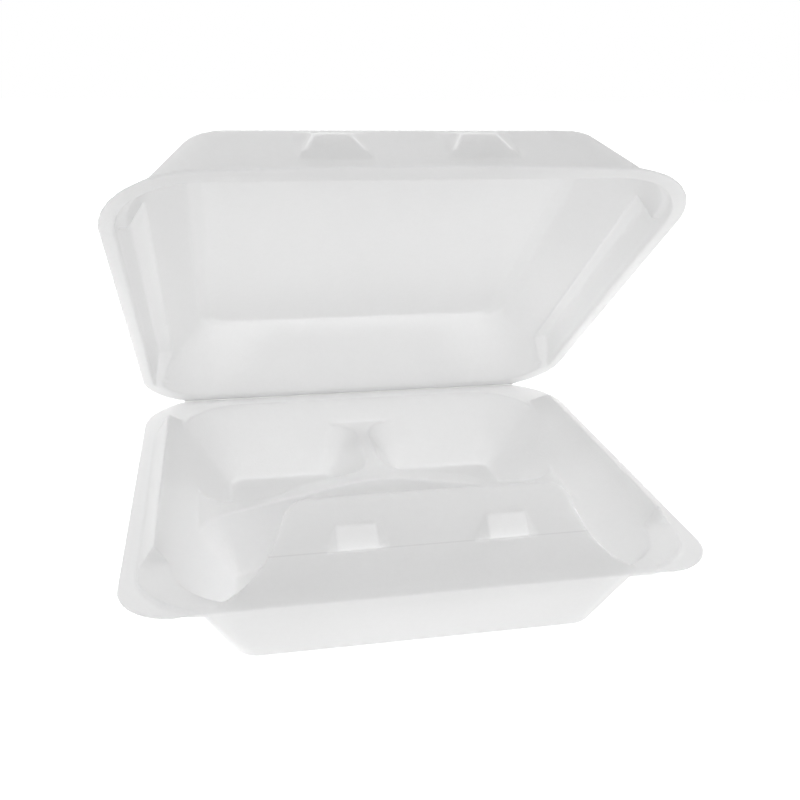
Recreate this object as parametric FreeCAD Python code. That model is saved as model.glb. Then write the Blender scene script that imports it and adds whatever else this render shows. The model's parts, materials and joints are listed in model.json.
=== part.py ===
import FreeCAD, Part
import math
import os

# A thermoformed foam takeaway box: a three-compartment tray and a lid, one sheet joined by
# a pressed living hinge along the back. The front of the tray has no flange: it folds up
# into a tongue with two catch lugs, which sit in two pockets of the lid's front wall.
#
# Frame: the origin is the centre of the tray's flat bottom, on the surface it stands on.
# +Z is up, +X to the right seen from the front, and the hinge lies at the back, towards +Y.
# Lengths are in millimetres, angles in degrees. "Forward" is the distance from the hinge line.

# Sheet and rim
sheet = 2.2
rim_width = 235.0
rim_length = 228.7
rim_corner = 40.0
hinge_cut = 6.0
flange_width = 6.1
flange_sheet = 1.3
rim_gap = 0.3
hinge_gap = 0.5

# Tray, with its tub set in from the rim's edges by the lands
tray_depth = 38.5
wall_lean = 31.8
side_land = 20.8
front_land = 15.3
tub_back = 9.0
tub_corner = 31.0
floor_round = 5.0
tight_corner = 5.2
step_height = 2.0
step_corner = 31.0
step_inset = 0.8

# Dividers between the compartments, at the level of their crest. The corners of the arms are
# shares of the compartments' half width and of the rim's length.
crest_drop = 12.0
centre_crest = 7.0
junction_share = 0.35
arm_bend_shares = (0.4705, 0.4058)
arm_shoulder_shares = (0.605, 0.4543)
arm_end_share = 0.47
front_pan_middle_share = 0.389
front_pan_side_share = 0.5335
pan_corner_share = 0.0766
arm_curve_share = 0.1915

# Side ridges of the tray
ridge_height = 11.2
ridge_front_share = 0.8
ridge_full = 46.0
ridge_back = 27.0
ridge_clearance = 0.4
ridge_tail_width = 1.4
ridge_tail_lean = 2.0
ridge_tail_height = 0.2

# Front tongue, with its outline measured up its own face from the fold. Its widths are shares
# of its foot, and the middles of its side curves are shares of the way across and up.
fold_land = 12.7
tongue_angle = 64.6
tongue_height = 38.6
tongue_inset = 22.5
tongue_waist_share = 0.637
tongue_waist_height = 20.0
tongue_shoulder_share = 0.5895
tongue_shoulder_height = 30.0
tongue_top_share = 0.4735
tongue_sweep_shares = (0.357, 0.34)
tongue_crown_shares = (0.7, 0.7)

# Catch lugs on the tongue
lug_spacing_share = 0.2447
lug_foot = 28.0
lug_head = 16.0
lug_face = 14.4
lug_low = 18.5
lug_high = 29.8
lug_face_high = 27.5
lug_reach = 4.0
lug_top_reach = 0.9

# Lid, with its walls set in from the rim by lands and leaning in by runs
lid_height = 37.5
lid_land = 9.0
lid_front_land = 6.4
lid_back = 6.0
lid_corner = 29.0
lid_side_run = 23.2
lid_front_run = 20.3
lid_back_run = 21.6
bevel_drop = 1.9
bevel_side = 6.1
bevel_ends = 1.35
bevel_corner = 13.0
panel_corner = 10.0
bevel_outer_drop = 0.33
panel_outer_spread = 0.67
front_bow = 2.4
seat_height = 3.0
seat_draft = 0.4

# Room in the lid's side walls for the tray's ridges
band_height = 12.6
band_top_inset = 3.8
band_depth = 11.0
band_back = 25.0
band_back_run = 18.0
band_front_room = 3.0
band_front_run = 6.0

# Pockets in the lid's front wall for the lugs
pocket_width = 28.6
pocket_edge = 14.0
pocket_low = 13.0
pocket_edge_high = 28.0
pocket_high = 33.6
pocket_reach = 4.5

# Pose of the lid
lid_open = 40.57

# Sizes that follow from those above
tub_width = rim_width - 2 * side_land
tub_front = rim_length - front_land
ridge_front = ridge_front_share * rim_length
fold_forward = rim_length - fold_land
tongue_foot = rim_width / 2 - tongue_inset
tongue_waist = tongue_waist_share * tongue_foot
tongue_shoulder = tongue_shoulder_share * tongue_foot
tongue_top = tongue_top_share * tongue_foot
lug_spacing = lug_spacing_share * rim_width
lid_width = rim_width - 2 * lid_land
lid_front = rim_length - lid_front_land
bevel_width = lid_width - 2 * lid_side_run
bevel_back = lid_back + lid_back_run
bevel_front = lid_front - lid_front_run
band_front = ridge_front + band_front_room
lean = math.tan(math.radians(wall_lean))
wall = sheet / math.cos(math.radians(wall_lean))
hinge_y = (tub_back + tub_front) / 2
hinge_z = tray_depth + rim_gap / 2
half_width = rim_width / 2
crest = -crest_drop
floor = sheet - tray_depth


def at(x, forward, up):
    """Place a point by its side, its distance forward of the hinge and its height over the tray's rim."""
    return FreeCAD.Vector(x, hinge_y - forward, tray_depth + up)


def flat(x, forward):
    return FreeCAD.Vector(x, forward, 0)


def box_corners(half, back, front, radius):
    """Corners of a rounded rectangle seen from above, each with its radius."""
    return [(flat(-half, back), radius), (flat(half, back), radius),
            (flat(half, front), radius), (flat(-half, front), radius)]


def mirrored(corners):
    return [(flat(-point.x, point.y), radius) for point, radius in reversed(corners)]


def directions(corners, index):
    """Unit vectors along the edges into and out of one corner."""
    here = corners[index][0]
    arriving = (here - corners[index - 1][0]).normalize()
    leaving = (corners[(index + 1) % len(corners)][0] - here).normalize()
    return arriving, leaving


def inset(corners, distance):
    """Move every edge of an outline inwards; the corner radii follow."""
    moved = []
    for index, (here, radius) in enumerate(corners):
        arriving, leaving = directions(corners, index)
        inward = flat(-arriving.y, arriving.x) + flat(-leaving.y, leaving.x)
        shift = distance / (1 + arriving.dot(leaving))
        turns_in = arriving.cross(leaving).z > 0
        new_radius = radius - distance if turns_in else radius + distance
        moved.append((here + inward * shift, max(new_radius, tight_corner)))
    return moved


def outline(corners, up):
    """Closed wire of straight runs and corner arcs at one height over the rim."""
    runs = []
    for index, (here, radius) in enumerate(corners):
        arriving, leaving = directions(corners, index)
        half_turn = arriving.getAngle(leaving) / 2
        reach = radius * math.tan(half_turn)
        start = here - arriving * reach
        end = here + leaving * reach
        middle = here + (leaving - arriving).normalize() * (radius / math.cos(half_turn) - radius)
        runs.append((start, middle, end))
    edges = []
    for index, corner in enumerate(runs):
        start, middle, end = [at(point.x, point.y, up) for point in corner]
        following = runs[(index + 1) % len(runs)][0]
        edges.append(Part.Arc(start, middle, end).toShape())
        edges.append(Part.LineSegment(end, at(following.x, following.y, up)).toShape())
    return Part.Wire(edges)


def loft(*wires):
    return Part.makeLoft(list(wires), True, True)


def slab(corners, low, high):
    """Straight prism between two heights."""
    return Part.Face(outline(corners, low)).extrude(FreeCAD.Vector(0, 0, high - low))


def polygon(points):
    return Part.makePolygon(points + points[:1])


def pan(corners, level, top, low, grow):
    """Tapered solid of an outline given at one level; grow moves its walls outwards."""
    upper = outline(inset(corners, -lean * (top - level) - grow), top)
    lower = outline(inset(corners, lean * (level - low) - grow), low)
    return loft(upper, lower)


def round_floor(solid, height, radius):
    level = 0.01
    edges = [edge for edge in solid.Edges if abs(edge.BoundBox.ZMax - height) < level]
    return solid.makeFillet(radius, edges)


def front_half(forward):
    """Large block that holds everything forward of a line."""
    size = 2 * (rim_width + rim_length)
    block = Part.makeBox(size, size, size)
    block.translate(FreeCAD.Vector(-size / 2, hinge_y - forward - size, -size / 2))
    return block


# Compartments

tub = box_corners(tub_width / 2, tub_back, tub_front, tub_corner)
tub_at_crest = inset(tub, lean * crest_drop)
side_at_crest = tub_at_crest[1][0].x
back_at_crest = tub_at_crest[1][0].y
front_at_crest = tub_at_crest[2][0].y
corner_at_crest = tub_at_crest[1][1]

pan_corner = pan_corner_share * rim_width
centre_side = centre_crest / 2
arm_end = flat(side_at_crest, arm_end_share * rim_length)
arm_shoulder = flat(arm_shoulder_shares[0] * side_at_crest, arm_shoulder_shares[1] * rim_length)
arm_bend = flat(arm_bend_shares[0] * side_at_crest, arm_bend_shares[1] * rim_length)
front_pan_middle = flat(0, front_pan_middle_share * rim_length)
front_pan_side = front_pan_side_share * rim_length

right_pan = [
    (flat(centre_side, back_at_crest), pan_corner),
    (flat(side_at_crest, back_at_crest), corner_at_crest),
    (arm_end, pan_corner),
    (arm_shoulder, pan_corner),
    (arm_bend, pan_corner),
    (flat(centre_side, junction_share * rim_length), pan_corner),
]
left_pan = mirrored(right_pan)
front_pan = [
    (flat(-side_at_crest, front_pan_side), pan_corner),
    (front_pan_middle, arm_curve_share * rim_width),
    (flat(side_at_crest, front_pan_side), pan_corner),
    (flat(side_at_crest, front_at_crest), corner_at_crest),
    (flat(-side_at_crest, front_at_crest), corner_at_crest),
]
pans = [left_pan, right_pan, front_pan]


def tray_inside():
    """Space inside the tray, from above the ridges to the three floors."""
    space = pan(tub, 0, ridge_height + sheet, crest, 0)
    for corners in pans:
        hollow = pan(corners, crest, crest, floor, 0)
        space = space.fuse(round_floor(hollow, sheet, floor_round - sheet))
    return space


def tray_outside():
    """Outer form of the tub, with the dividers hollow underneath."""
    form = pan(tub, 0, 0, crest, wall)
    form = form.fuse(slab(inset(tub_at_crest, -wall / 2), crest - sheet, crest))
    for corners in pans:
        form = form.fuse(round_floor(pan(corners, crest, crest, -tray_depth, wall), 0, floor_round))
    return form


# Side ridges

def ridge_section(forward, height, lift, side):
    """Inverted V across the ridge; lift lowers it by the sheet for the hollow underneath."""
    base = -sheet
    outer = half_width - flange_width - ridge_clearance
    peak = tub_width / 2 + lean * height
    slope = (outer - peak) / height
    inner_wall = lift * wall
    outer_wall = lift * sheet * math.hypot(1, slope)
    top = ((outer - outer_wall) - (tub_width / 2 + inner_wall)) / (lean + slope)
    return polygon([at(side * (tub_width / 2 + inner_wall + lean * base), forward, base),
                    at(side * (tub_width / 2 + inner_wall + lean * top), forward, top),
                    at(side * (outer - outer_wall - slope * base), forward, base)])


def ridge(side, lift):
    """One ridge as a solid prism that thins out into the back corner."""
    end = ridge_front - lift * sheet
    full = ridge_full + lift * sheet
    prism = loft(ridge_section(full, ridge_height, lift, side),
                 ridge_section(end, ridge_height, lift, side))
    if lift:
        return prism
    inner = tub_width / 2
    tail = polygon([at(side * inner, ridge_back, -sheet),
                    at(side * (inner + ridge_tail_lean), ridge_back, ridge_tail_height),
                    at(side * (inner + ridge_tail_width), ridge_back, -sheet)])
    return prism.fuse(loft(tail, ridge_section(ridge_full, ridge_height, 0, side)))


# Front tongue

tongue_cos = math.cos(math.radians(tongue_angle))
tongue_sin = math.sin(math.radians(tongue_angle))


def on_tongue(x, climb, out):
    """Point by its side, its distance up the tongue's outer face and its distance out of it."""
    forward = fold_forward - climb * tongue_cos + out * tongue_sin
    return at(x, forward, climb * tongue_sin + out * tongue_cos)


def tongue_line(start, end):
    return Part.LineSegment(on_tongue(*start, 0), on_tongue(*end, 0)).toShape()


def tongue_arc(points):
    return Part.Arc(*[on_tongue(x, climb, 0) for x, climb in points]).toShape()


def share_between(start, end, shares):
    """Point at given shares of the way across and up from one point of the tongue to another."""
    return [low + (high - low) * share for low, high, share in zip(start, end, shares)]


def tongue():
    """Flat flap with S-shaped sides, its foot in the top of the front wall."""
    foot = (tongue_foot, 0)
    waist = (tongue_waist, tongue_waist_height)
    shoulder = (tongue_shoulder, tongue_shoulder_height)
    top = (tongue_top, tongue_height)
    across, up = tongue_sweep_shares
    sweep = share_between(foot, waist, (1 - across, up))
    across, up = tongue_crown_shares
    crown = share_between(shoulder, top, (1 - across, up))
    right = [foot, sweep, waist]
    right_top = [shoulder, crown, top]
    left = [(-x, climb) for x, climb in reversed(right)]
    left_top = [(-x, climb) for x, climb in reversed(right_top)]
    edges = [
        tongue_line((-tongue_foot, 0), foot),
        tongue_arc(right),
        tongue_line(waist, shoulder),
        tongue_arc(right_top),
        tongue_line(top, left_top[0]),
        tongue_arc(left_top),
        tongue_line(left_top[2], left[0]),
        tongue_arc(left),
    ]
    inward = on_tongue(0, 0, -sheet) - on_tongue(0, 0, 0)
    return Part.Face(Part.Wire(edges)).extrude(inward)


def lug(centre, sink):
    """Raised catch on the tongue; sink moves it inwards for the hollow behind it."""
    def quad(half_low, half_high, high, reach_low, reach_high):
        return polygon([on_tongue(centre - half_low, lug_low + sink, reach_low - sink),
                        on_tongue(centre + half_low, lug_low + sink, reach_low - sink),
                        on_tongue(centre + half_high, high, reach_high - sink),
                        on_tongue(centre - half_high, high, reach_high - sink)])
    foot = quad(lug_foot / 2, lug_head / 2, lug_high, -sheet / 2, -sheet / 2)
    face = quad(lug_face / 2, lug_face / 2, lug_face_high, lug_reach, lug_top_reach)
    return loft(foot, face)


def fold_room():
    """Everything in front of the fold: the tongue's outer face above it, the front wall's below."""
    low = -2 * sheet
    high = 2 * step_height
    far = rim_length
    profile = [(fold_forward + lean * low, low), (fold_forward, 0),
               (fold_forward - high * tongue_cos / tongue_sin, high), (far, high), (far, low)]
    side = polygon([at(-tongue_foot, forward, up) for forward, up in profile])
    return Part.Face(side).extrude(FreeCAD.Vector(2 * tongue_foot, 0, 0))


def make_tray():
    back_corners = box_corners(half_width, -hinge_cut, fold_forward, rim_corner)[:2]
    front_corners = box_corners(half_width, -hinge_cut, fold_forward, tongue_inset)[2:]
    rim = back_corners + front_corners
    step = box_corners(half_width - flange_width - step_inset, -hinge_cut, fold_forward, step_corner)
    plate = slab(rim, -flange_sheet, 0).common(front_half(hinge_gap / 2))
    raised = slab(step, -sheet, step_height).common(front_half(ridge_front - sheet))
    under = slab(inset(step, sheet), -2 * sheet, step_height - sheet)
    shell = plate.fuse([raised, ridge(-1, 0), ridge(1, 0)])
    hollow = under.common(front_half(ridge_front)).fuse([ridge(-1, 1), ridge(1, 1)])
    shell = shell.cut(hollow).cut(fold_room())
    flap = tongue().fuse([lug(-lug_spacing / 2, 0), lug(lug_spacing / 2, 0)])
    flap = flap.cut(lug(-lug_spacing / 2, sheet)).cut(lug(lug_spacing / 2, sheet))
    body = shell.fuse(tray_outside()).cut(tray_inside())
    return body.fuse(flap).removeSplitter()


# Lid, built closed over the tray and then swung open

def lid_level(corners, height):
    return outline(corners, rim_gap + height)


def lid_form(grow):
    """Tapered inside of the lid with its bevelled panel; grow makes the outer form."""
    side_lean = lid_side_run / (lid_height - sheet - bevel_drop)
    side = grow * sheet * math.hypot(1, side_lean)
    drop = bevel_drop + grow * bevel_outer_drop
    top = lid_height - sheet + grow * sheet
    low = box_corners(lid_width / 2, lid_back, lid_front, lid_corner)
    bevel = box_corners(bevel_width / 2, bevel_back, bevel_front, bevel_corner)
    panel = box_corners(bevel_width / 2 - bevel_side, bevel_back + bevel_ends,
                        bevel_front - bevel_ends, panel_corner)
    rise = grow * sheet * side_lean
    return loft(lid_level(inset(low, -side), 0), lid_level(inset(bevel, -side + rise), top - drop),
                lid_level(inset(panel, -grow * panel_outer_spread), top))


def band(side, grow):
    """Outward step of a side wall over the tray's ridge; grow makes its outer form."""
    out = half_width - flange_width + grow * sheet
    top_out = out - band_top_inset
    deep = half_width - flange_width - band_depth
    top = band_height + grow * sheet
    back = band_back - grow * sheet
    front = band_front + grow * sheet
    foot = [(deep, back), (out, back), (out, front), (deep, front)]
    head = [(deep, back + band_back_run), (top_out, back + band_back_run),
            (top_out, front + band_front_run), (deep, front + band_front_run)]
    return loft(polygon([at(side * x, forward, rim_gap) for x, forward in foot]),
                polygon([at(side * x, forward, rim_gap + top) for x, forward in head]))


def pocket(centre, grow):
    """Roof-shaped bulge of the lid's front wall; its edge faces the lug."""
    front_lean = lid_front_run / (lid_height - sheet - bevel_drop)
    skin = grow * sheet * math.hypot(1, front_lean)
    sunk = sheet / 2

    def point(x, height, reach):
        return at(centre + x, lid_front - front_lean * height + skin + reach, rim_gap + height)
    half = pocket_width / 2
    edge = pocket_edge / 2
    low_left = point(-half, pocket_low, 0)
    low_right = point(half, pocket_low, 0)
    high_right = point(half, pocket_high, 0)
    high_left = point(-half, pocket_high, 0)
    edge_left = point(-edge, pocket_edge_high, pocket_reach)
    edge_right = point(edge, pocket_edge_high, pocket_reach)
    back = FreeCAD.Vector(0, sunk, 0)
    base = [low_left, low_right, high_right, high_left]
    faces = [polygon([corner + back for corner in base])]
    for start, end in zip(base, base[1:] + base[:1]):
        faces.append(polygon([start, end, end + back, start + back]))
    faces.append(polygon([low_left, low_right, edge_right, edge_left]))
    faces.append(polygon([high_right, high_left, edge_left, edge_right]))
    faces.append(polygon([low_right, high_right, edge_right]))
    faces.append(polygon([high_left, low_left, edge_left]))
    return Part.Solid(Part.Shell([Part.Face(wire) for wire in faces]))


def bowed_rim():
    """Lid flange whose front edge bows forward between the corners."""
    rim = box_corners(half_width, -hinge_cut, rim_length, rim_corner)
    plate = slab(rim, rim_gap, rim_gap + flange_sheet)
    straight = half_width - rim_corner
    bow = Part.Arc(at(-straight, rim_length, rim_gap), at(0, rim_length + front_bow, rim_gap),
                   at(straight, rim_length, rim_gap)).toShape()
    chord = [at(straight, rim_length, rim_gap), at(straight, rim_length - flange_width / 2, rim_gap),
             at(-straight, rim_length - flange_width / 2, rim_gap), at(-straight, rim_length, rim_gap)]
    strip = Part.Face(Part.Wire([bow] + Part.makePolygon(chord).Edges))
    return plate.fuse(strip.extrude(FreeCAD.Vector(0, 0, flange_sheet))).common(front_half(hinge_gap / 2))


def make_lid():
    seat = box_corners(half_width - flange_width, tub_back, lid_front, rim_corner - flange_width)
    seat_space = loft(lid_level(seat, 0), lid_level(inset(seat, seat_draft), seat_height))
    seat_skin = loft(lid_level(inset(seat, -sheet), 0),
                     lid_level(inset(seat, seat_draft - sheet), seat_height + sheet))
    sides = (-1, 1)
    lugs = (-lug_spacing / 2, lug_spacing / 2)
    outer = bowed_rim().fuse([lid_form(1), seat_skin])
    outer = outer.fuse([band(side, 1) for side in sides] + [pocket(centre, 1) for centre in lugs])
    inner = lid_form(0).fuse([seat_space] + [band(side, 0) for side in sides])
    inner = inner.fuse([pocket(centre, 0) for centre in lugs])
    lid = outer.cut(inner).removeSplitter()
    lid.rotate(FreeCAD.Vector(0, hinge_y, hinge_z), FreeCAD.Vector(-1, 0, 0), lid_open)
    return lid


os.makedirs("parts", exist_ok=True)
for name, shape in (("tray", make_tray()), ("lid", make_lid())):
    print(name, "solids", len(shape.Solids), "valid", shape.isValid(), "volume", round(shape.Volume))
    shape.exportStep("parts/" + name + ".step")
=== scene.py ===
import json
import math

import bpy
import numpy as np
from mathutils import Matrix, Vector


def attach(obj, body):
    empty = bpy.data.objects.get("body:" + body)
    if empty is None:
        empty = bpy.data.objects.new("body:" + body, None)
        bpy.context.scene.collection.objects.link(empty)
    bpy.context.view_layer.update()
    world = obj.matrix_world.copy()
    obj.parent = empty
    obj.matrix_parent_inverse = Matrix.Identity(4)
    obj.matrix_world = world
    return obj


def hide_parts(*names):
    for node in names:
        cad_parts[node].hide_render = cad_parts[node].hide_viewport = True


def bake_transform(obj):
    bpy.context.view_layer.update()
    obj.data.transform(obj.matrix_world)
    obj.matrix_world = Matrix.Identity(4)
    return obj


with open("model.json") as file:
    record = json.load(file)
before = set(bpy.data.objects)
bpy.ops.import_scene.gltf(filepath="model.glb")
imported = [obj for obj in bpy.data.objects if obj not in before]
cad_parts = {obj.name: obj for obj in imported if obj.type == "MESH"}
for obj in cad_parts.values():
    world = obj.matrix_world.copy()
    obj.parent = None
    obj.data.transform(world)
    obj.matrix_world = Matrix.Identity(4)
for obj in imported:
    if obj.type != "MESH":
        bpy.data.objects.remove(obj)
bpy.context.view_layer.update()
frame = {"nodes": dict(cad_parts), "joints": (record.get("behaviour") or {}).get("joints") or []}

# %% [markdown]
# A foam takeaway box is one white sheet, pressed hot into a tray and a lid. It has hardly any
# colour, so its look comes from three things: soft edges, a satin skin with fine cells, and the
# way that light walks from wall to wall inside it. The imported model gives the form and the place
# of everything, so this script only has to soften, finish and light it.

scene = bpy.context.scene
scene.view_settings.view_transform = "Standard"

# %% [markdown]
# The camera looks down on the open box from a little left of its middle. It could be aimed with a
# Track To constraint, but a matrix built from three angles keeps the slight roll of the picture,
# and each angle can be read and changed on its own.

# %% Camera
picture_width = 800
focal_pixels = 916.77
turn = math.radians(11.27)
drop = math.radians(20.94)
roll = math.radians(0.98)
eye = (-0.0723, -0.3908, 0.2282)

forward = Vector((math.sin(turn) * math.cos(drop), math.cos(turn) * math.cos(drop), -math.sin(drop)))
level_right = Vector((math.cos(turn), -math.sin(turn), 0))
level_up = level_right.cross(forward)
camera_right = level_right * math.cos(roll) + level_up * math.sin(roll)
camera_up = level_up * math.cos(roll) - level_right * math.sin(roll)

lens = bpy.data.cameras.new("camera")
lens.sensor_width = 36
lens.lens = lens.sensor_width * focal_pixels / picture_width
camera = bpy.data.objects.new("camera", lens)
turned = Matrix((camera_right, camera_up, -forward)).transposed().to_4x4()
camera.matrix_world = Matrix.Translation(eye) @ turned
scene.collection.objects.link(camera)
scene.camera = camera
print("lens", round(lens.lens, 2), "mm")

# %% [markdown]
# White foam in a white studio. The floor and the air are pure white to the viewer, but a floor
# that sent that much light up as well would wash the shadow away. Light Path tells the two apart:
# camera, gloss and clear rays read the white, and light itself reads a plainer value. Floor and
# air both need this choice, so it is one helper that works in either node tree.


# %% White for the viewer
def seen_or_lit(tree, seen, lit):
    """A value that camera, glossy and transmitted rays read as seen, and all other light as lit."""
    path = tree.nodes.new("ShaderNodeLightPath")
    found = path.outputs["Is Camera Ray"]
    for name in ("Is Glossy Ray", "Is Transmission Ray"):
        either = tree.nodes.new("ShaderNodeMath")
        either.operation = "MAXIMUM"
        tree.links.new(found, either.inputs[0])
        tree.links.new(path.outputs[name], either.inputs[1])
        found = either.outputs[0]
    choice = tree.nodes.new("ShaderNodeMix")
    choice.inputs["A"].default_value = lit
    choice.inputs["B"].default_value = seen
    tree.links.new(found, choice.inputs["Factor"])
    return choice.outputs["Result"]


# %% [markdown]
# The box stands on a plain pale table. One large square is enough, a hair below the foam so that
# the two never share a plane. It glows a little, as a lit table does, because that light from
# below is what brightens the tub's front wall. The glow is hidden from the camera.

# %% Floor
floor_reach = 4.0
floor_drop = 0.0003
floor_seen = 3.0
floor_lit = 0.9
floor_glow = 0.29

corners = [(x * floor_reach, y * floor_reach, -floor_drop)
           for x, y in ((-1, -1), (1, -1), (1, 1), (-1, 1))]
sheet = bpy.data.meshes.new("floor")
sheet.from_pydata(corners, [], [(0, 1, 2, 3)])
floor = bpy.data.objects.new("floor", sheet)
scene.collection.objects.link(floor)

floor_white = bpy.data.materials.new("floor_white")
floor_white.use_nodes = True
tree = floor_white.node_tree
shader = tree.nodes["Principled BSDF"]
shader.inputs["Roughness"].default_value = 1.0
shader.inputs["Specular IOR Level"].default_value = 0.0
tree.links.new(seen_or_lit(tree, floor_seen, floor_lit), shader.inputs["Base Color"])
shader.inputs["Emission Color"].default_value = (1, 1, 1, 1)
tree.links.new(seen_or_lit(tree, 0.0, floor_glow), shader.inputs["Emission Strength"])
sheet.materials.append(floor_white)
print("floor", floor_reach * 2, "m wide")

# %% [markdown]
# The studio is a white tent: even light from everywhere, more of it from the bright table below
# and from behind, and least from the viewer's side. The even part is the world's background,
# which costs no lamp and gives no hard shadow.

# %% Air
air_seen = 1.0
air_light = 0.53

studio = bpy.data.worlds.new("studio")
scene.world = studio
studio.use_nodes = True
tree = studio.node_tree
background = tree.nodes["Background"]
background.inputs["Color"].default_value = (1, 1, 1, 1)
tree.links.new(seen_or_lit(tree, air_seen, air_light), background.inputs["Strength"])
print("air", air_seen, "to the viewer and", air_light, "as light")

# %% [markdown]
# Two large soft boxes shape the form: a strong one behind lights the rims, and a weak one at the
# right keeps the two sides of the tray apart. An area lamp a metre wide gives the soft edge of
# shade that a small lamp would not.

# %% Soft boxes
box_middle = (0, 0, 0.08)


def soft_box(name, place, width, watts, aim=box_middle):
    """Square lamp that faces the box, or another point."""
    lamp = bpy.data.lights.new(name, "AREA")
    lamp.size = width
    lamp.energy = watts
    holder = bpy.data.objects.new(name, lamp)
    holder.location = place
    holder.rotation_euler = (Vector(aim) - Vector(place)).to_track_quat("-Z", "Y").to_euler()
    scene.collection.objects.link(holder)
    return holder


soft_box("right_light", (1.1, -0.15, 0.75), 0.8, 0.5)
soft_box("back_light", (0.0, 1.3, 0.7), 1.0, 4.2)

# %% [markdown]
# Real foam passes so much light from wall to wall that its hollows glow. In this scene the deep
# ones stay darker than that, so three faint lamps lift them: one into the lid and one into each
# side of the tray. Their beams are narrow, so that the rims and the front stay as they are.

# %% Hollow fills
fill_width = 0.22
fill_height = 0.06
fill_spread = math.radians(8)


def hollow_fill(name, place, watts, aim):
    """Low, wide lamp with a narrow beam that reaches into one hollow and leaves the rest."""
    holder = soft_box(name, place, fill_width, watts, aim)
    holder.data.shape = "RECTANGLE"
    holder.data.size_y = fill_height
    holder.data.spread = fill_spread


hollow_fill("lid_fill", (0.0, -1.1, 0.06), 0.018, (0.0, 0.05, 0.125))
hollow_fill("left_fill", (-0.8, 0.0, 0.42), 0.011, (0.0, 0.0, 0.03))
hollow_fill("right_fill", (0.8, -0.02, 0.42), 0.016, (0.0, -0.02, 0.03))

# %% [markdown]
# The frame's tray and lid have the right form with knife-sharp folds. Foam can't fold sharply: the
# press leaves every edge rounded by about a millimetre. A Bevel modifier tears on a thin closed
# sheet like this one, so each shell is rebuilt on a fine voxel grid, smoothed, and thinned out.


# %% Soft foam shells
def bake_modifiers(piece):
    """Keep the mesh that the piece's modifiers make, and drop the modifiers."""
    shown = bpy.context.evaluated_depsgraph_get()
    mesh = bpy.data.meshes.new_from_object(piece.evaluated_get(shown))
    piece.modifiers.clear()
    piece.data = mesh


def soft_shell(node, voxel, rounding_steps, triangles):
    """A softened copy of one frame node that rides on the body of the same name."""
    piece = bpy.data.objects.new("foam_" + node, frame["nodes"][node].data.copy())
    scene.collection.objects.link(piece)
    remesh = piece.modifiers.new("voxels", "REMESH")
    remesh.mode = "VOXEL"
    remesh.voxel_size = voxel
    rounding = piece.modifiers.new("rounding", "SMOOTH")
    rounding.factor = 0.5
    rounding.iterations = rounding_steps
    bake_modifiers(piece)
    found = sum(len(face.vertices) - 2 for face in piece.data.polygons)
    thinning = piece.modifiers.new("thinning", "DECIMATE")
    thinning.ratio = min(1.0, triangles / found)
    bake_modifiers(piece)
    piece.data.polygons.foreach_set("use_smooth", [True] * len(piece.data.polygons))
    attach(piece, node)
    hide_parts(node)
    print(piece.name, found, "triangles thinned to", len(piece.data.polygons))
    return piece


voxel_size = 0.00065
rounding_steps = 4
shell_triangles = 190000
tray = soft_shell("tray", voxel_size, rounding_steps, shell_triangles)
lid = soft_shell("lid", voxel_size, rounding_steps, shell_triangles)

# %% [markdown]
# Tray and lid are one sheet on the real box, pinched along the back until it bends. The pinched
# web is modelled as a thin strip curled behind the hinge line, with the long shallow beads that
# the press leaves. A rigid strip would tear off one of the two; this one is built once, at the
# lid's rest angle, and rides on neither body. First come its sizes, measured from the hinge line
# of the frame.

# %% Hinge line and web sizes
joint = frame["joints"][0]
hinge_point = Vector(joint["pos_m"])
lid_rest_angle = math.radians(40.57)
web_start = math.radians(24)
web_half_length = 0.0975
web_radius = 0.00105
web_thickness = 0.0006
bead_pitch = 0.0235
bead_fill = 0.68
bead_rise = 0.00035
print("hinge at", [round(value, 4) for value in hinge_point])

# %% [markdown]
# The strip is a short tube wall with a slot: a row of points round the hinge line for each step
# along it, joined to the next row. Its outer side is round and its inner side carries the beads.


# %% Hinge web
def web_point(x, angle, radius):
    """Point round the hinge line; angle 0 points to the tray's flange and grows down and back."""
    return (x, hinge_point.y - radius * math.cos(angle), hinge_point.z - radius * math.sin(angle))


def bead(x):
    """Height of the pressed beads along the hinge, as a share of their full height."""
    place = (x / bead_pitch) % 1.0 / bead_fill
    return math.sin(math.pi * place) if place < 1 else 0.0


def make_web(steps_along, steps_round):
    """Closed strip round the hinge line, from the tray's edge to the lid's edge."""
    last = 2 * math.pi - lid_rest_angle - web_start
    points = []
    for i in range(steps_along + 1):
        x = -web_half_length + 2 * web_half_length * i / steps_along
        inner = web_radius - web_thickness - bead_rise * bead(x)
        for radius in (web_radius, inner):
            for k in range(steps_round + 1):
                angle = web_start + (last - web_start) * k / steps_round
                points.append(web_point(x, angle, radius))
    row = 2 * (steps_round + 1)
    ring = list(range(steps_round + 1)) + list(range(row - 1, steps_round, -1))
    faces = [ring[::-1], [steps_along * row + k for k in ring]]
    for i in range(steps_along):
        for a, b in zip(ring, ring[1:] + ring[:1]):
            faces.append((i * row + a, i * row + b, (i + 1) * row + b, (i + 1) * row + a))
    mesh = bpy.data.meshes.new("hinge_web")
    mesh.from_pydata(points, [], faces)
    mesh.polygons.foreach_set("use_smooth", [True] * len(mesh.polygons))
    web = bpy.data.objects.new("hinge_web", mesh)
    scene.collection.objects.link(web)
    return web


web = make_web(260, 14)
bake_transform(web)
print("web", len(web.data.polygons), "faces")
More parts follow.
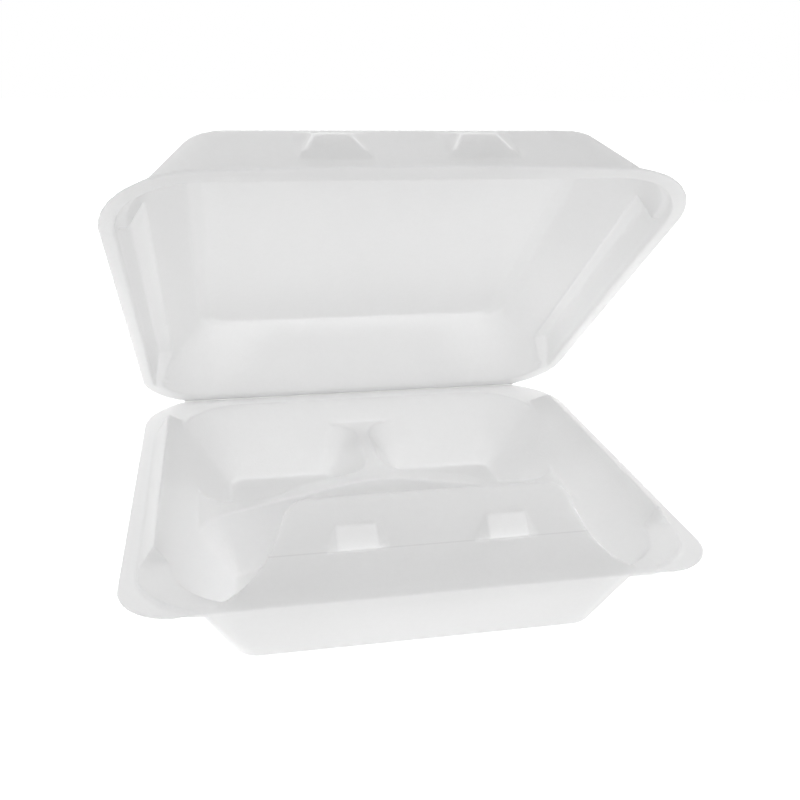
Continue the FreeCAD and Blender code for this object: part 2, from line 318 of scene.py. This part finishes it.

# %% [markdown]
# The press stretches the sheet most at the two catch lugs and along the edges of the two lid
# pockets, and thin foam lets more light through. That light is painted on as a glow: each shell
# carries a mask, worked out from the place of every vertex, that is 0 on the plain sheet and up to
# 1 where the painted glow is strongest. A mask painted with a brush would be lost each time that
# the shells are rebuilt; a worked-out one is not.

# %% Places of the lugs and pockets
tray_depth = 0.0385
fold_y = -0.1048
tongue_angle = math.radians(64.6)
up_tongue = Vector((0, math.cos(tongue_angle), math.sin(tongue_angle)))
out_of_tongue = Vector((0, -math.sin(tongue_angle), math.cos(tongue_angle)))
fold_point = Vector((0, fold_y, tray_depth))
lug_centres = (-0.02875, 0.02875)
lug_face_half = 0.0072
lug_climb = (0.0188, 0.0272)
lug_stand = (0.0002, 0.006)
# Strength of the painted glow on the lug faces.
lug_painted_glow = 0.65
pocket_crease = ((-0.0143, 0.013), (-0.007, 0.028), (0.007, 0.028), (0.0143, 0.013))
pocket_rise = (0.019, 0.04)
front_wall_reach = (-0.25, -0.19)
crease_half = 0.0009
crease_end = 1.5
print("lugs and pockets at x", lug_centres)


# %% Helpers for the masks
def inside(value, low, high, soft=0.0006):
    """1 between two limits, falling to 0 over a soft edge outside them."""
    return np.clip(1 - (low - value) / soft, 0, 1) * np.clip(1 - (value - high) / soft, 0, 1)


def crease_distance(x, height):
    """Distance of points to the pocket's crease line, seen from the front."""
    nearest = np.full(len(x), np.inf)
    for (x0, h0), (x1, h1) in zip(pocket_crease, pocket_crease[1:]):
        length = math.hypot(x1 - x0, h1 - h0)
        along = np.clip(((x - x0) * (x1 - x0) + (height - h0) * (h1 - h0)) / length ** 2, 0, 1)
        gap = np.hypot(x - x0 - along * (x1 - x0), height - h0 - along * (h1 - h0))
        nearest = np.minimum(nearest, gap)
    return nearest


def store_mask(piece, mask):
    """Keep the mask on the piece, where the material reads it as an attribute."""
    layer = piece.data.attributes.new("painted_glow_mask", "FLOAT", "POINT")
    layer.data.foreach_set("value", mask.astype(np.float32))
    # The count is of vertices that carry painted glow.
    print(piece.name, int((mask > 0.5).sum()), "vertices of thin foam")


def vertices(piece):
    """Places of all vertices of a piece, one row each."""
    flat = np.empty(len(piece.data.vertices) * 3, np.float32)
    piece.data.vertices.foreach_get("co", flat)
    return flat.reshape(-1, 3).astype(float)


# %% [markdown]
# The lugs stand on the leaning tongue, so their mask is worked out in the tongue's own
# directions: across, up the tongue, and out of it.

# %% Mask of the lugs
spots = vertices(tray) - np.array(fold_point)
climb = spots @ np.array(up_tongue)
out = spots @ np.array(out_of_tongue)
on_lugs = sum(inside(spots[:, 0], centre - lug_face_half, centre + lug_face_half)
              for centre in lug_centres)
# Painted glow on the faces of the two lugs.
store_mask(tray, lug_painted_glow * on_lugs * inside(climb, *lug_climb) * inside(out, *lug_stand))

# %% [markdown]
# The pockets are in the lid, which stands open here. Turning its points back by the rest angle
# gives their places on the shut box, where the pocket's outline is easy to state.

# %% Mask of the pockets
spots = vertices(lid) - np.array(hinge_point)
shut_y = spots[:, 1] * math.cos(lid_rest_angle) - spots[:, 2] * math.sin(lid_rest_angle)
height = spots[:, 1] * math.sin(lid_rest_angle) + spots[:, 2] * math.cos(lid_rest_angle)
on_front = inside(shut_y, *front_wall_reach) * inside(height, *pocket_rise)
near = sum(np.clip(crease_end - crease_distance(spots[:, 0] - centre, height) / crease_half, 0, 1)
           for centre in lug_centres)
# Painted glow along the pocket edges of the lid.
store_mask(lid, near * on_front)

# %% [markdown]
# The finish: closed cells about a millimetre across under a smooth satin skin, a slight clouding
# where the sheet is denser, and a surface that is never quite flat. All foam shares this, so it is
# one node group. It gives a clouding mask, a roughness value and a height, and no colour of its own.

# %% Foam skin group
broad_scale = 28.0
fine_scale = 420.0
broad_share = 0.4
fine_share = 0.6
satin_spread = 0.25


def foam_skin_group():
    """Group that gives foam its clouding mask, its roughness and the height of its cells."""
    group = bpy.data.node_groups.new("foam_skin", "ShaderNodeTree")
    asked = (("Cell Size", 0.0011), ("Cell Relief", 0.00003), ("Sag", 0.0001), ("Satin", 0.5))
    for name, value in asked:
        socket = group.interface.new_socket(name=name, in_out="INPUT", socket_type="NodeSocketFloat")
        socket.default_value = value
    for name in ("Clouding", "Roughness", "Height"):
        group.interface.new_socket(name=name, in_out="OUTPUT", socket_type="NodeSocketFloat")
    nodes = group.nodes
    links = group.links
    given = nodes.new("NodeGroupInput")
    result = nodes.new("NodeGroupOutput")
    place = nodes.new("ShaderNodeTexCoord")

    def math_node(operation, first, second):
        node = nodes.new("ShaderNodeMath")
        node.operation = operation
        for socket, value in zip(node.inputs, (first, second)):
            if isinstance(value, (int, float)):
                socket.default_value = value
            else:
                links.new(value, socket)
        return node.outputs[0]

    density = math_node("DIVIDE", 1.0, given.outputs["Cell Size"])
    cells = nodes.new("ShaderNodeTexVoronoi")
    links.new(place.outputs["Object"], cells.inputs["Vector"])
    links.new(density, cells.inputs["Scale"])

    def cloud(scale, detail):
        noise = nodes.new("ShaderNodeTexNoise")
        noise.inputs["Scale"].default_value = scale
        noise.inputs["Detail"].default_value = detail
        links.new(place.outputs["Object"], noise.inputs["Vector"])
        return noise.outputs["Fac"]

    broad = cloud(broad_scale, 0.0)
    fine = cloud(fine_scale, 1.0)
    cell_height = math_node("MULTIPLY", math_node("SUBTRACT", 1.0, cells.outputs["Distance"]),
                            given.outputs["Cell Relief"])
    sag_height = math_node("MULTIPLY", broad, given.outputs["Sag"])
    links.new(math_node("ADD", cell_height, sag_height), result.inputs["Height"])
    broad_part = math_node("MULTIPLY", broad, broad_share)
    fine_part = math_node("MULTIPLY", fine, fine_share)
    links.new(math_node("ADD", broad_part, fine_part), result.inputs["Clouding"])
    spread = math_node("MULTIPLY", math_node("SUBTRACT", fine, 0.5), satin_spread)
    links.new(math_node("ADD", given.outputs["Satin"], spread), result.inputs["Roughness"])
    return group


foam_skin = foam_skin_group()
print("group", foam_skin.name, [item.name for item in foam_skin.interface.items_tree])

# %% [markdown]
# A fine crease runs across the tongue at the foot of the lugs, where the sheet was nipped as it
# was folded up. It is thinner than the mesh is fine, so its shade is painted in the shader as a
# darker line: two dot products give the distance up the tongue and out of it, and the mask is
# where both are small.

# %% Tongue crease group
tongue_skin = 0.0009
crease_climb = 0.0183
crease_line_half = 0.00025


def tongue_crease_group(climb_at, half_width):
    """Group that gives 1 on a thin line across the tongue, and 0 everywhere else."""
    group = bpy.data.node_groups.new("tongue_crease", "ShaderNodeTree")
    for name, value in (("Climb", climb_at), ("Half Width", half_width)):
        socket = group.interface.new_socket(name=name, in_out="INPUT", socket_type="NodeSocketFloat")
        socket.default_value = value
    group.interface.new_socket(name="Crease", in_out="OUTPUT", socket_type="NodeSocketFloat")
    given = group.nodes.new("NodeGroupInput")
    result = group.nodes.new("NodeGroupOutput")
    place = group.nodes.new("ShaderNodeTexCoord")

    def near(direction, middle, width):
        along = group.nodes.new("ShaderNodeVectorMath")
        along.operation = "DOT_PRODUCT"
        group.links.new(place.outputs["Object"], along.inputs[0])
        along.inputs[1].default_value = direction
        level = group.nodes.new("ShaderNodeMath")
        level.operation = "SUBTRACT"
        group.links.new(along.outputs["Value"], level.inputs[0])
        level.inputs[1].default_value = fold_point.dot(direction)
        match = group.nodes.new("ShaderNodeMath")
        match.operation = "COMPARE"
        group.links.new(level.outputs[0], match.inputs[0])
        for socket, value in zip(match.inputs[1:], (middle, width)):
            if isinstance(value, float):
                socket.default_value = value
            else:
                group.links.new(value, socket)
        return match.outputs[0]

    both = group.nodes.new("ShaderNodeMath")
    both.operation = "MULTIPLY"
    on_line = near(up_tongue, given.outputs["Climb"], given.outputs["Half Width"])
    on_skin = near(out_of_tongue, 0.0, tongue_skin)
    group.links.new(on_line, both.inputs[0])
    group.links.new(on_skin, both.inputs[1])
    group.links.new(both.outputs[0], result.inputs["Crease"])
    return group


tongue_crease = tongue_crease_group(crease_climb, crease_line_half)
print("group", tongue_crease.name, [item.name for item in tongue_crease.interface.items_tree])

# %% [markdown]
# Foam is white because its cells scatter light, and a sheet two millimetres thick lets some of it
# through. The Principled shader's subsurface does that. The colour stays just under white, so
# that the folds still read under a bright light.


# %% Helpers for the material
def placed_group(tree, group):
    """One use of a shared node group in a material."""
    node = tree.nodes.new("ShaderNodeGroup")
    node.node_tree = group
    return node


def mixed_colour(tree, factor, first, second):
    """Colour that goes from first to second as the factor goes from 0 to 1."""
    mix = tree.nodes.new("ShaderNodeMix")
    mix.data_type = "RGBA"
    tree.links.new(factor, mix.inputs["Factor"])
    for name, colour in (("A", first), ("B", second)):
        if isinstance(colour, tuple):
            mix.inputs[name].default_value = colour
        else:
            tree.links.new(colour, mix.inputs[name])
    return mix.outputs["Result"]


# %% [markdown]
# Three things change over the surface: the tone clouds between two near whites, painted shade
# darkens the line of the crease, and the masked places glow with painted light, which stands in
# for the light that thin foam lets through from behind.
# The skin's height goes through a Bump node, because its cells are finer than the mesh.

# %% Foam material
# Painted shade: the grey that darkens the crease line on the tongue.
painted_crease_shade = (0.9, 0.9, 0.9, 1)
no_light = (0, 0, 0, 1)
# Colour of the painted glow, sent out as emission where the mask is 1.
painted_glow_colour = (0.16, 0.16, 0.16, 1)
constants = {
    "Emission Strength": 1.0,
    "Specular IOR Level": 0.35,
    "Subsurface Weight": 1.0,
    "Subsurface Radius": (1, 1, 1),
    "Subsurface Scale": 0.016,
}


def foam_material(name, light, shade, relief, satin):
    """Foam between two near whites; relief is the height of its cells in metres."""
    material = bpy.data.materials.new(name)
    material.use_nodes = True
    tree = material.node_tree
    shader = tree.nodes["Principled BSDF"]
    for socket, value in constants.items():
        shader.inputs[socket].default_value = value

    skin = placed_group(tree, foam_skin)
    skin.inputs["Cell Relief"].default_value = relief
    skin.inputs["Satin"].default_value = satin
    nip = placed_group(tree, tongue_crease)
    glowing = tree.nodes.new("ShaderNodeAttribute")
    glowing.attribute_name = "painted_glow_mask"

    tone = mixed_colour(tree, skin.outputs["Clouding"], (*light, 1), (*shade, 1))
    # Painted shade along the tongue crease.
    crease_shaded = mixed_colour(tree, nip.outputs["Crease"], tone, painted_crease_shade)
    # Painted glow: emission from the mask stands in for light through the foam.
    painted_glow = mixed_colour(tree, glowing.outputs["Fac"], no_light, painted_glow_colour)
    tree.links.new(crease_shaded, shader.inputs["Base Color"])
    tree.links.new(painted_glow, shader.inputs["Emission Color"])
    tree.links.new(skin.outputs["Roughness"], shader.inputs["Roughness"])

    bump = tree.nodes.new("ShaderNodeBump")
    bump.inputs["Distance"].default_value = 1.0
    tree.links.new(skin.outputs["Height"], bump.inputs["Height"])
    tree.links.new(bump.outputs["Normal"], shader.inputs["Normal"])
    return material


foam = foam_material("white_foam", (0.99, 0.99, 0.99), (0.955, 0.955, 0.955), 0.00005, 0.5)
pinched_foam = foam_material("pinched_foam", (0.96, 0.96, 0.94), (0.93, 0.93, 0.90), 0.00001, 0.4)
for piece, material in ((tray, foam), (lid, foam), (web, pinched_foam)):
    piece.data.materials.clear()
    piece.data.materials.append(material)
print("materials", foam.name, pinched_foam.name)
